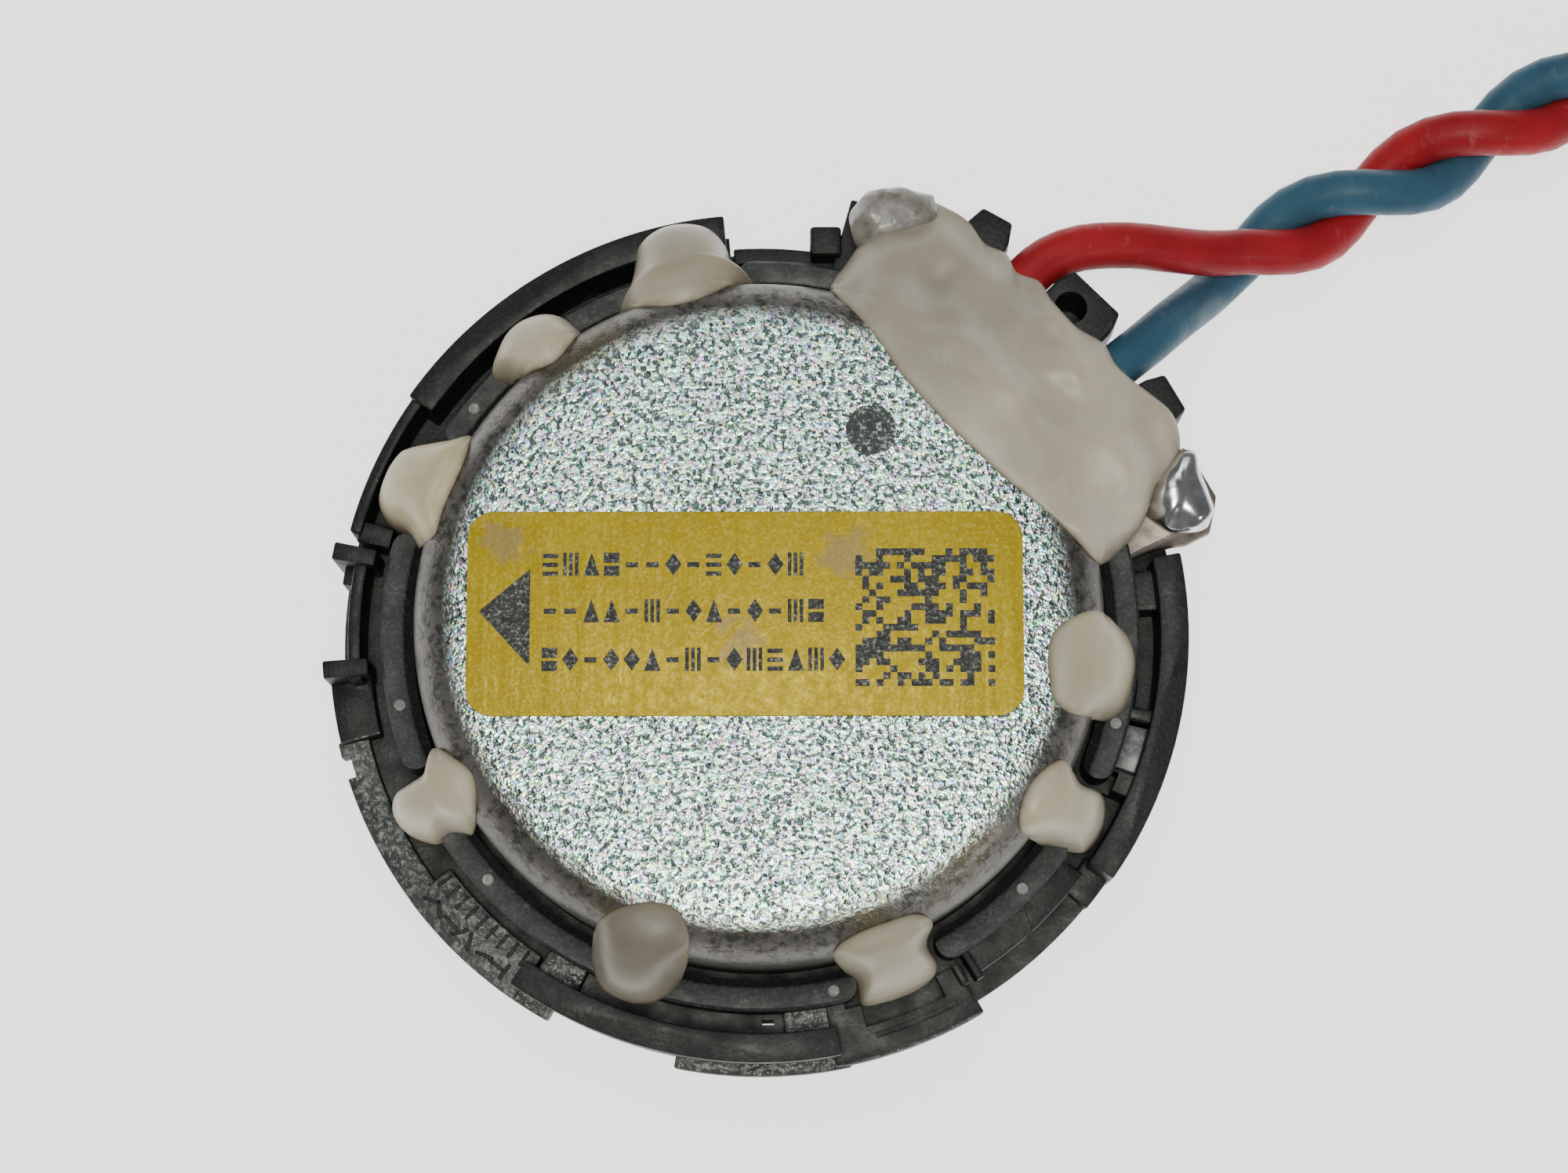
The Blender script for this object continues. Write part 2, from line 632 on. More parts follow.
def add_floor():
    half = 1500.0
    corners = [(x * half, y * half, FLOOR_DROP) for x, y in ((-1, -1), (1, -1), (1, 1), (-1, 1))]
    mesh = finish_mesh(shape_from(corners, [(0, 1, 2, 3)]), "floor")
    look = Look("floor_paper", roughness=0.8)
    look.colour(look.mix(look.ramp(look.noise(40.0, 2.0), 0.3, 0.7), (0.93, 0.93, 0.93), (0.90, 0.90, 0.90)))
    look.shader.inputs["Emission Color"].default_value = (1.0, 1.0, 1.0, 1.0)
    look.shader.inputs["Emission Strength"].default_value = FLOOR_GLOW
    mesh.materials.append(look.material)
    item = bpy.data.objects.new("floor", mesh)
    bpy.context.scene.collection.objects.link(item)


# ------------------------------------------------------------------ leads

RED_ROUTE = (
    (12.7, 17.2, 6.9), (13.7, 18.5, 6.9), (14.9, 19.5, 6.8), (16.6, 20.15, 6.6), (19.1, 20.4, 6.1),
    (21.6, 20.4, 5.1), (23.6, 20.5, 4.1),
)
BLUE_ROUTE = (
    (17.1, 12.9, 6.9), (18.5, 14.0, 6.8), (19.9, 15.2, 6.2), (21.2, 16.5, 5.0), (22.5, 17.8, 3.3),
    (23.6, 18.9, 1.9),
)
PAIR_ROUTE = (
    (25.4, 20.7), (31.7, 23.9), (38.0, 27.1), (44.3, 30.3), (50.5, 32.6), (57.0, 33.0), (63.0, 30.8),
    (67.0, 26.0), (68.6, 19.5), (68.6, 9.0), (68.6, -1.5), (68.6, -12.0), (66.6, -16.9), (61.6, -19.0),
    (56.6, -16.9), (54.6, -12.0), (54.6, -6.5), (54.6, -0.5), (54.6, 5.3),
)
PAIR_Z = LEAD_D + 0.05
HALF_TWIST = 7.1
PIN_OFFSET = 1.6
PIN_Z = 2.6


def lay_pair():
    """Centre lines of the two leads along the twisted pair, and into the plug."""
    line = open_curve([(x, y, PAIR_Z) for x, y in PAIR_ROUTE], 0.6)
    along = [0.0]
    for a, b in zip(line, line[1:]):
        along.append(along[-1] + (b - a).length)
    total = along[-1]
    halves = 0.5 + round(total / HALF_TWIST - 0.5)
    strands = {"red": [], "blue": []}
    for i, (point, u) in enumerate(zip(line, along)):
        ahead = (line[min(i + 1, len(line) - 1)] - line[max(i - 1, 0)]).normalized()
        left = Vector((-ahead.y, ahead.x, 0))
        phase = math.pi * halves * u / total
        offset = math.cos(phase) * Vector((0, 0, 1)) - math.sin(phase) * left
        spread = lerp(LEAD_D / 2, PIN_OFFSET, smooth_step(total - 4.0, total, u))
        strands["red"].append(point + offset * spread)
        strands["blue"].append(point - offset * spread)
    return strands


def add_lead(name, route, strand, material, replaces):
    entry = open_curve([*route, tuple(strand[0])], 1.0)[:-1]
    side = round((strand[-1].x - PAIR_ROUTE[-1][0]) / PIN_OFFSET)
    seat_x = PAIR_ROUTE[-1][0] + side * PIN_OFFSET
    tail = [Vector((seat_x, y, PIN_Z)) for y in (6.4, 7.6, 8.8)]
    points = entry + strand[:-1:2] + tail
    curve = bpy.data.curves.new(name, "CURVE")
    curve.dimensions = "3D"
    curve.bevel_depth = LEAD_D / 2 * MM
    curve.bevel_resolution = 7
    curve.use_fill_caps = True
    spline = curve.splines.new("POLY")
    spline.points.add(len(points) - 1)
    for target, point in zip(spline.points, points):
        target.co = (*metres(point), 1.0)
    spline.use_smooth = True
    item = bpy.data.objects.new(name, curve)
    bpy.context.scene.collection.objects.link(item)
    curve.materials.append(material)
    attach(item, BODY)
    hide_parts(*replaces)


def add_leads(housing, lock):
    strands = lay_pair()
    add_lead("wire_red", RED_ROUTE, strands["red"], RED, ("lead_red", "lead_twisted_pair"))
    add_lead("wire_blue", BLUE_ROUTE, strands["blue"], BLUE, ("lead_blue",))


# ------------------------------------------------------------------ moulded chassis

COLLAR_GAPS = ((101.5, 8.0), (156.5, 8.0), (207.3, 4.8), (292.0, 6.8), (330.5, 5.3))


def collar_gap(centre, half):
    """The cut between two collar ends, whose ends stay rounded."""
    r_in = COLLAR_IN_R - 0.6
    r_out = COLLAR_OUT_R + 0.3
    middle = (COLLAR_IN_R + COLLAR_OUT_R) / 2
    bulge = math.degrees(0.8 / middle)
    flank = [(middle + 0.8 * math.cos(t), math.sin(t)) for t in (math.pi * i / 8 for i in range(9))]
    upper = [polar(r, centre + half + bulge * (1 - b))[:2] for r, b in flank]
    lower = [polar(r, centre - half - bulge * (1 - b))[:2] for r, b in reversed(flank)]
    outline = arc(r_out, centre - half - bulge, centre + half + bulge) + upper
    outline += arc(r_in, centre + half + bulge, centre - half - bulge) + lower
    return extruded(outline, 5.0, 9.0, 0)


def comb_tooth(angle, half_in, half_out, reach):
    outline = [(21.4, -half_in), (reach - 1.0, -half_in), (reach, -half_out), (reach, half_out)]
    outline += [(reach - 1.0, half_in), (21.4, half_in)]
    return turn_about_z(extruded(outline, SPIGOT_END_Z + 0.3, TOOTH_TOP_Z, 0.16, 3), angle)


def build_chassis():
    profile = [
        (COLLAR_OUT_R - 0.15, COLLAR_TOP_Z), (COLLAR_OUT_R, COLLAR_TOP_Z - 0.15), (COLLAR_OUT_R, FLOOR_Z),
        (BODY_R, FLOOR_Z), (BODY_R, RIM_FRONT_Z + 0.2), (BODY_R - 0.2, RIM_FRONT_Z), (18.7, RIM_FRONT_Z),
        (18.7, 4.45), (16.2, 4.45), (16.2, 4.95), (COLLAR_IN_R, 4.95), (COLLAR_IN_R, 7.4),
        (COLLAR_IN_R + 0.12, 7.55), (COLLAR_IN_R + 0.42, COLLAR_TOP_Z - 0.06), (COLLAR_IN_R + 0.55, COLLAR_TOP_Z),
    ]
    low = FLOOR_Z - 0.6
    walls = [
        (WALL_IN_R, WALL_OUT_R, 95, 146, low, WALL_TOP_Z), (WALL_IN_R, WALL_OUT_R, 235, 281, low, WALL_TOP_Z),
        (WALL_IN_R, WALL_OUT_R, 324.5, 370.5, low, WALL_TOP_Z), (20.9, 21.5, 145, 166, low, 7.4),
        (20.2, 20.85, 170, 187, low, 7.4), (18.9, 20.3, 302, 323, low, 6.6), (18.9, 20.2, 80, 94, low, 6.5),
        (18.9, 21.1, 164, 167, low, 7.0), (19.8, 22.0, 168.0, 170.4, low, 7.9), (20.3, 21.5, 170.2, 173.0, low, 6.2),
        (19.8, 22.1, 184.0, 186.4, low, 7.9), (19.9, 22.0, 186.2, 194.5, low, 5.7),
    ]
    flange = [
        (20.6, FLANGE_R, 194, 218, SPIGOT_END_Z, FLANGE_TOP_Z), (19.6, FLANGE_R, 217, 236, SPIGOT_END_Z, 5.5),
        (21.0, FLANGE_R, 234, 241, SPIGOT_END_Z, FLANGE_TOP_Z),
        (21.0, FLANGE_R, 258.7, 282, SPIGOT_END_Z, FLANGE_TOP_Z),
        (19.9, 21.5, 320, 326, low, FLANGE_TOP_Z), (18.9, 20.4, 236.5, 243, low, 5.6),
        (18.9, 20.4, 273.5, 282, low, 5.6), (18.9, 22.1, 280, 300.5, SPIGOT_END_Z, 6.3),
        (18.9, 20.5, 299.5, 300.7, low, 7.2), (18.9, 20.6, 301.8, 303.0, low, 7.0),
        (18.9, 20.6, 335.4, 338.9, low, 7.3), (18.9, 20.4, 346.7, 348.6, low, 7.1), (19.0, 20.3, 339.3, 346.2, low, 6.2),
        (18.9, 20.4, 363.5, 369.5, low, 6.4), (18.9, 22.7, 20, 71, SPIGOT_END_Z, COMB_FLOOR_Z),
        (18.9, 20.9, 69, 82, low, 6.5),
    ]
    additions = [sector(*sizes) for sizes in walls + flange]
    additions += [
        comb_tooth(60.4, 1.2, 0.85, 24.7), comb_tooth(45.3, 1.9, 1.6, 24.5), comb_tooth(30.0, 1.3, 1.05, 24.4),
        block((4.1, 3.0, 4.1), polar(20.9, UPPER_LUG, 5.45), UPPER_LUG),
        block((4.3, 3.0, 4.1), polar(21.0, LOWER_LUG, 5.45), LOWER_LUG),
        block((1.6, 1.5, 4.6), (3.35, 20.1, 6.1), 0, 0.2),
    ]
    cuts = [collar_gap(*gap) for gap in COLLAR_GAPS]
    cuts += [
        sector(20.3, 23.0, 83, 94.5, 0.5, 9.0, 0), sector(21.75, 23.0, 196, 199, 0.5, 9.0, 0),
        sector(19.35, 19.6, 270.2, 272, 0.5, 9.0, 0), sector(19.2, 19.45, 349.2, 354.0, 0.5, 9.0, 0),
        sector(19.2, 20.5, 285, 297, 4.9, 9.0, 0),
        sector(20.85, 21.15, 286, 298, 5.7, 9.0, 0),
        block((3.0, 0.28, 1.0), polar(19.7, 312.5, 6.9), 285, 0),
        extruded(circle(0.85, polar(22.95, 46.3)), 3.9, 9.0, 0),
        block((3.6, 0.8, 1.5), polar(17.8, UPPER_LUG, 5.0), UPPER_LUG, 0),
        block((3.6, 0.8, 1.5), polar(17.8, LOWER_LUG, 5.0), LOWER_LUG, 0),
    ]
    mesh = carved("chassis", turned(profile, 180, closed=True), additions, cuts)
    item = piece("chassis_moulding", mesh, (BLACK, COLLAR, TEXTURED, TAB), ("chassis_frame",))
    for face in mesh.polygons:
        centre = face.center / MM
        radius = math.hypot(centre.x, centre.y)
        angle = math.degrees(math.atan2(centre.y, centre.x)) % 360
        if radius < COLLAR_OUT_R and centre.z > 7.3:
            face.material_index = 1
        elif 339 < angle < 346.5 and 18.9 < radius < 20.4 and 6.0 < centre.z < 6.3 and face.normal.z > 0.5:
            face.material_index = 3
        elif radius > (19.4 if angle < 281 else 21.2) and face.normal.z > 0.5 and 4.6 < centre.z < 6.4 and 194 < angle < 301:
            face.material_index = 2
    return item


def add_moulded_marks():
    """Raised strokes with no meaning on the sloped flange, and fine ribs beside them."""
    shapes = bmesh.new()
    marks = [((0.18, 0.95, 0.3), polar(21.3, angle, 5.5), angle + lean)
             for angle, lean in ((219, 35), (220.6, -35), (223, 0), (224.8, 60), (226.6, -60), (229.4, 20), (231.4, 0),
                                 (232.9, 90))]
    marks += [((0.9, 0.16, 0.3), polar(20.2, angle, 5.5), angle) for angle in range(218, 235, 2)]
    for size, centre, turn in marks:
        part = bpy.data.meshes.new("mark")
        shape = block(size, centre, turn, 0.04)
        shape.to_mesh(part)
        shape.free()
        shapes.from_mesh(part)
        bpy.data.meshes.remove(part)
    piece("moulded_marks", finish_mesh(shapes, "moulded_marks"), BLACK)


def add_ejector_marks():
    """Small round witness marks on the collar's top."""
    shapes = bmesh.new()
    for angle in (142, 192, 223, 285 - 3.5, 315, 345):
        mark = turned([(0, COLLAR_TOP_Z + 0.03), (0.26, COLLAR_TOP_Z + 0.03), (0.34, COLLAR_TOP_Z - 0.05),
                       (0, COLLAR_TOP_Z - 0.05)], 20, at=polar(18.45, angle))
        part = bpy.data.meshes.new("mark")
        mark.to_mesh(part)
        mark.free()
        shapes.from_mesh(part)
        bpy.data.meshes.remove(part)
    piece("ejector_marks", finish_mesh(shapes, "ejector_marks"), PIN_MARK)


# ------------------------------------------------------------------ magnet cup, label and ink

def shoulder_height(radius):
    inset = min(max(radius - CUP_FLAT_R, 0.0), SHOULDER_R)
    return CUP_FACE_Z - SHOULDER_R + math.sqrt(SHOULDER_R**2 - inset**2)


def build_cup():
    bend = [math.radians(16.9 + 73.1 * i / 16) for i in range(17)]
    shoulder = [(CUP_FLAT_R + SHOULDER_R * math.sin(t), CUP_FACE_Z - SHOULDER_R * (1 - math.cos(t))) for t in bend]
    rings = [(r, CUP_FACE_Z) for r in (0, 4, 8, 11)]
    rings += [(r, CUP_FACE_Z - 0.0166 * (r - 12.9) ** 2) for r in (12.9, 13.4, 13.9, 14.4, 14.9)]
    profile = rings + shoulder + [(CUP_OUTER_R, CUP_RIM_Z + 0.15), (CUP_OUTER_R - 0.15, CUP_RIM_Z)]
    profile += [(CUP_BORE_R, CUP_RIM_Z), (CUP_BORE_R, 10.3), (CUP_BORE_R - 0.6, 10.9), (0, 10.9)]
    piece("magnet_cup_shell", finish_mesh(turned(profile, 240), "cup"), ZINC, ("magnet_cup",))


def rounded_box(low, high, corner, count=8):
    outline = []
    centres = ((high.x - corner, high.y - corner), (low.x + corner, high.y - corner),
               (low.x + corner, low.y + corner), (high.x - corner, low.y + corner))
    for i, (cx, cy) in enumerate(centres):
        for j in range(count + 1):
            t = math.radians(90 * i + 90 * j / count)
            outline.append((cx + corner * math.cos(t), cy + corner * math.sin(t)))
    return outline


def build_label():
    outline = rounded_box(LABEL_LOW, LABEL_HIGH, 1.3)
    shape = extruded(outline, LABEL_LOW.z - 0.12, LABEL_HIGH.z - 0.02, 0.03)
    piece("label_foil", finish_mesh(shape, "label", 60), FOIL, ("rear_label",))
    add_print()


def add_print():
    """Generic print: an arrow, three rows of bars, triangles and diamonds, and a block of random squares."""
    low = LABEL_HIGH.z - 0.03
    high = LABEL_HIGH.z - 0.008
    dice = random.Random(7)
    middle_x = (LABEL_LOW.x + LABEL_HIGH.x) / 2
    shapes = []

    def bar(x, y, width, height):
        shapes.append([(x, y), (x + width, y), (x + width, y + height), (x, y + height)])

    shapes.append([(middle_x - 13.0, 0.1), (middle_x - 10.5, -2.6), (middle_x - 10.5, 2.2)])
    tall = 1.15
    for row_y, letters in ((1.85, 13), (-0.45, 14), (-2.85, 15)):
        for i in range(letters):
            x = middle_x - 9.9 + i * 1.0
            kind = dice.randrange(6)
            if kind == 0:
                bar(x + 0.08, row_y + 0.42, 0.6, 0.26)
            elif kind == 1:
                for step in (0.0, 0.29, 0.58):
                    bar(x + step, row_y, 0.18, tall)
            elif kind == 2:
                for step in (0.0, 0.44, 0.88):
                    bar(x, row_y + step, 0.76, 0.22)
            elif kind == 3:
                shapes.append([(x, row_y), (x + 0.8, row_y), (x + 0.4, row_y + tall)])
            elif kind == 4:
                middle_y = row_y + tall / 2
                shapes.append([(x, middle_y), (x + 0.4, row_y), (x + 0.8, middle_y), (x + 0.4, row_y + tall)])
            else:
                bar(x, row_y, 0.76, 0.5)
                bar(x, row_y + 0.65, 0.76, 0.5)
    module = 0.34
    count = 20
    corner_x = middle_x + 5.4
    corner_y = -3.6
    for row in range(count):
        column = 0
        while column < count:
            run = 0
            while column + run < count and dice.random() < 0.46:
                run += 1
            if run:
                bar(corner_x + column * module, corner_y + row * module, run * module, module)
            column += run + 1
    joined = bmesh.new()
    for outline in shapes:
        verts = [joined.verts.new((x, y, z)) for z in (low, high) for x, y in outline]
        size = len(outline)
        joined.faces.new(list(reversed(verts[:size])))
        joined.faces.new(verts[size:])
        for i in range(size):
            j = (i + 1) % size
            joined.faces.new((verts[i], verts[j], verts[size + j], verts[size + i]))
    piece("label_print", finish_mesh(joined, "print"), INK)


def build_ink_dot():
    middle = (INK_LOW + INK_HIGH) / 2
    reach = (INK_HIGH.x - INK_LOW.x) / 2
    outline = []
    for i in range(60):
        t = 2 * math.pi * i / 60
        wobble = 0.12 * noise.noise(Vector((3 * math.cos(t), 3 * math.sin(t), 3.1)))
        r = reach * (1.13 + wobble)
        outline.append((middle.x + r * math.cos(t), middle.y + r * math.sin(t)))
    shape = extruded(outline, CUP_FACE_Z - 0.01, INK_HIGH.z - 0.03, 0)
    piece("ink_spot", finish_mesh(shape, "ink"), DOT_INK, ("ink_dot",))


# ------------------------------------------------------------------ glue

def glue_bed(radius, foot):
    """Height of what a drop lies on: cup face, shoulder, then down to the collar or a gap's floor."""
    if radius < CUP_OUTER_R:
        return shoulder_height(radius)
    return lerp(CUP_FACE_Z - SHOULDER_R, foot, smooth_step(CUP_OUTER_R, 18.1, radius))


def soft_max(a, b, blend):
    gap = max(blend - abs(a - b), 0.0) / blend
    return max(a, b) + gap * gap * blend / 4


def mark_thin(mesh, values):
    """Store how near each point is to the rim, for the material."""
    thin = mesh.attributes.new("thin", "FLOAT", "POINT")
    thin.data.foreach_set("value", values)


def glue_drop(name, outline, crown, foot, material, replaces, fullness=2.4, waves=0.05, seed=0.0):
    """A drop with the given outline (x, y), star-shaped about its middle."""
    rim = closed_curve([(x, y, 0) for x, y in outline], 96)
    centre = sum(rim, Vector()) / len(rim)
    reach = [math.hypot(p.x, p.y) for p in rim]
    r_in, r_out = min(reach), max(reach)
    bed_in, bed_out = glue_bed(r_in, foot), glue_bed(r_out, foot)
    rings = 22
    verts = []
    thin = []
    for k in range(rings + 1):
        s = math.sin(math.pi / 2 * k / rings)
        thin += [s**6] * len(rim)
        for point in rim:
            p = centre.lerp(point, s)
            radius = math.hypot(p.x, p.y)
            t = (radius - r_in) / (r_out - r_in)
            slope = lerp(bed_in, lerp(bed_out, bed_in, 0.5), smooth_step(0.0, 1.1, t))
            hug = s**5
            ripple = waves * noise.noise(Vector((p.x * 0.9, p.y * 0.9, seed)))
            bed = glue_bed(radius, foot)
            swell = (1 - s**fullness) ** 0.55
            top = soft_max(lerp(slope, bed, hug) + (crown + ripple) * swell, bed + 0.03 + 0.28 * swell, 0.9 * swell + 0.01)
            verts.append((p.x, p.y, -soft_max(-top, -GLUE_TOP, 0.9)))
        if k == 0:
            verts = [verts[0]]
            thin = [0.0]
    for point in rim:
        radius = math.hypot(point.x, point.y)
        verts.append((point.x, point.y, glue_bed(radius, foot) - 0.5))
        thin.append(1.0)
    size = len(rim)
    faces = [(0, 1 + i, 1 + (i + 1) % size) for i in range(size)]
    for k in range(rings):
        a = 1 + k * size
        b = a + size
        faces += [(a + i, b + i, b + (i + 1) % size, a + (i + 1) % size) for i in range(size)]
    faces.append(tuple(range(len(verts) - size, len(verts))))
    mesh = finish_mesh(shape_from(verts, faces), name, 60)
    mark_thin(mesh, thin)
    return piece(name, mesh, material, replaces)


GLUE_TOP = CAD_BOX[1].z / MM - 0.02
DROPS = (
    ("notch_drop", 0.75, 7.4, GLUE, (
        (-7.2, 16.3), (-6.8, 17.4), (-6.5, 18.6), (-6.3, 19.9), (-5.3, 20.8), (-4.0, 21.1), (-2.7, 20.9),
        (-1.9, 20.2), (-1.5, 19.2), (-1.2, 18.5), (-0.3, 17.9), (-1.2, 17.0), (-2.6, 16.1), (-4.1, 15.6),
        (-6.0, 15.7))),
    ("upper_left_drop", 0.8, 8.2, GLUE, (
        (-13.6, 13.0), (-13.4, 14.1), (-12.9, 15.1), (-12.0, 15.8), (-10.7, 16.1), (-9.6, 15.7), (-9.0, 14.6),
        (-9.5, 13.5), (-10.2, 12.7), (-11.3, 12.4), (-12.5, 12.5))),
    ("left_drop", 0.7, 7.2, GLUE_YELLOW, (
        (-17.9, 9.4), (-16.6, 9.6), (-14.6, 9.6), (-14.4, 8.4), (-14.9, 6.9), (-15.5, 5.5), (-16.0, 4.0),
        (-17.0, 4.0), (-17.8, 4.9), (-18.9, 5.6), (-19.4, 6.7), (-19.1, 8.0), (-18.5, 9.0))),
    ("lower_left_drop", 0.8, 7.4, GLUE, (
        (-16.1, -6.3), (-14.8, -7.0), (-13.9, -7.8), (-13.7, -9.1), (-14.1, -10.3), (-15.3, -10.3),
        (-16.2, -10.7), (-17.5, -10.3), (-18.3, -9.4), (-18.3, -8.4), (-17.4, -7.8), (-16.6, -7.3))),
    ("bottom_drop", 0.95, 8.2, GLUE_GREY, (
        (-8.3, -16.2), (-7.8, -15.0), (-6.3, -14.2), (-4.6, -14.1), (-3.6, -14.8), (-3.3, -16.2), (-3.9, -17.6),
        (-4.9, -18.5), (-6.1, -18.7), (-7.3, -18.3), (-8.0, -17.6))),
    ("lower_right_drop", 0.75, 7.2, GLUE, (
        (3.7, -16.7), (3.9, -16.1), (4.9, -15.5), (6.2, -15.0), (7.6, -14.6), (8.5, -14.9), (8.3, -15.7),
        (8.8, -16.7), (8.6, -17.4), (7.6, -18.1), (6.2, -18.6), (5.1, -18.7), (4.7, -17.6))),
    ("right_drop", 0.8, 7.4, GLUE, (
        (12.8, -10.6), (12.7, -9.6), (13.1, -8.5), (13.9, -7.6), (14.9, -7.1), (15.8, -7.8), (17.1, -8.3),
        (17.3, -9.3), (17.0, -10.3), (16.3, -11.1), (15.4, -11.1), (14.1, -10.9))),
    ("far_right_drop", 0.95, 8.2, GLUE, (
        (14.2, -3.4), (14.1, -2.3), (14.3, -1.1), (15.1, -0.3), (16.6, 0.3), (18.1, 0.0), (18.8, -1.2),
        (18.7, -2.8), (18.1, -4.2), (16.8, -4.8), (15.3, -4.9), (14.4, -4.3))),
)


def build_glue():
    for i, (name, crown, foot, material, outline) in enumerate(DROPS):
        glue_drop(name, outline, crown, foot, material, (f"adhesive_dot_{i + 1}",), seed=i * 3.7)


# Outer edge of the potting, as (angle, radius): scalloped where it has run up to the comb's teeth
BEAD_EDGE = (
    (78.3, 18.0), (77.0, 19.2), (75.3, 20.7), (72.6, 22.6), (69.5, 23.7), (66.0, 23.8), (63.0, 23.6), (60.0, 23.0),
    (57.0, 23.1), (54.5, 22.6), (51.5, 22.9), (48.5, 22.5), (44.0, 22.3), (40.0, 22.8), (37.0, 22.6), (34.0, 22.8),
    (31.0, 23.2), (27.5, 23.6), (24.0, 23.3), (21.6, 22.5), (19.5, 21.2), (16.0, 20.2), (13.5, 19.2), (11.0, 17.9),
)
BEAD_CHORD = ((9.6, 16.9), (13.5, 16.0), (20.0, 15.0), (28.0, 13.95), (36.0, 13.45), (44.0, 13.25), (52.0, 13.4),
              (60.0, 13.95), (67.0, 15.0), (73.0, 16.0), (77.4, 16.9))


def bead_height(x, y, s):
    """One smooth mass: level over the cup's face, then an easy slope down to the comb."""
    radius = math.hypot(x, y)
    broad = noise.noise(Vector((x * 0.4, y * 0.4, 4.2)))
    small = noise.noise(Vector((x * 0.8, y * 0.8, 9.1)))
    floor = shoulder_height(radius) if radius < CUP_OUTER_R else 8.3
    rim = floor if radius < CUP_OUTER_R else lerp(CUP_FACE_Z - SHOULDER_R, 8.3, smooth_step(CUP_OUTER_R, 18.2, radius))
    bed = lerp(GLUE_TOP, 9.4, smooth_step(13.9, 24.2, radius))
    bed += (1.15 * broad + 0.12 * small) * smooth_step(14.6, 17.5, radius)
    bed = max(bed, floor + 0.2)
    return -soft_max(-rim - (bed - rim) * (1 - s**9) ** 0.5, -GLUE_TOP, 0.4)


def build_bead():
    outline = [polar(r, a) for a, r in BEAD_EDGE] + [polar(r, a) for a, r in BEAD_CHORD]
    rim = closed_curve(outline, 320)
    centre = Vector(polar(18.4, 43.0))
    rings = 44
    verts = [(centre.x, centre.y, bead_height(centre.x, centre.y, 0))]
    thin = [0.0]
    for k in range(1, rings + 1):
        s = 1 - (1 - k / rings) ** 1.6
        thin += [s**15] * len(rim)
        for point in rim:
            p = centre.lerp(point, s)
            verts.append((p.x, p.y, bead_height(p.x, p.y, s)))
    for point in rim:
        verts.append((point.x, point.y, bead_height(point.x, point.y, 1.0) - 0.5))
        thin.append(1.0)
    size = len(rim)
    faces = [(0, 1 + i, 1 + (i + 1) % size) for i in range(size)]
    for k in range(rings):
        a = 1 + k * size
        b = a + size
        faces += [(a + i, b + i, b + (i + 1) % size, a + (i + 1) % size) for i in range(size)]
    faces.append(tuple(range(len(verts) - size, len(verts))))
    mesh = finish_mesh(shape_from(verts, faces), "potting", 60)
    mark_thin(mesh, thin)
    piece("potting_mass", mesh, POTTING, ("potting_bead",))


def lumpy(shape, amount, size, seed):
    """Push a shape's points about by smooth noise."""
    for vert in shape.verts:
        shift = noise.noise_vector(vert.co / size + Vector((seed, seed, seed)))
        vert.co += shift * amount
    return shape


def lump(outline, levels, amount, size, seed):
    """A lump in layers: each level is (share of the outline, height)."""
    rim = closed_curve([(x, y, 0) for x, y in outline], 64)
    centre = sum(rim, Vector()) / len(rim)
    verts = []
    for share, z in levels:
        for point in rim:
            p = centre.lerp(point, share)
            verts.append((p.x, p.y, z))
    count = len(rim)
    faces = [tuple(reversed(range(count))), tuple(range((len(levels) - 1) * count, len(levels) * count))]
    for k in range(len(levels) - 1):
        a = k * count
        faces += [(a + i, a + (i + 1) % count, a + count + (i + 1) % count, a + count + i) for i in range(count)]
    return lumpy(shape_from(verts, faces), amount, size, seed)


def build_lump():
    outline = [(4.6, 20.6), (4.7, 21.6), (5.4, 22.4), (6.6, 22.75), (8.1, 22.5), (9.0, 22.0), (8.8, 20.8),
               (7.2, 20.0), (6.0, 19.5), (5.0, 19.6)]
    levels = [(0.8, 8.0), (0.95, 8.2), (1.0, 8.7), (0.96, 9.2), (0.84, 9.6), (0.62, 9.9), (0.4, 10.0), (0.15, 10.02)]
    shape = lump(outline, levels, 0.2, 0.9, 5.0)
    piece("cloudy_lump", finish_mesh(shape, "lump", 70), CLOUDY, ("potting_lump",))


# ------------------------------------------------------------------ terminals

LUG_OUTLINES = {
    "upper": [(5.2, 19.2), (7.2, 18.6), (7.8, 21.6), (7.2, 22.3), (6.2, 22.4), (5.4, 21.9)],
    "lower": [(18.3, 3.4), (20.0, 4.1), (21.6, 4.4), (22.8, 5.0), (23.1, 6.8), (22.3, 8.2), (20.6, 8.2), (18.6, 6.2)],
}
SOLDER_OUTLINES = {
    "upper": [(5.3, 20.8), (5.4, 21.9), (6.3, 22.3), (7.0, 21.7), (6.9, 20.8), (6.0, 20.5)],
    "lower": [(19.6, 5.8), (19.9, 7.2), (20.7, 8.4), (21.2, 9.2), (21.9, 9.1), (22.4, 7.7), (22.9, 6.4), (22.6, 5.2),
              (21.6, 4.8), (20.5, 5.2)],
}


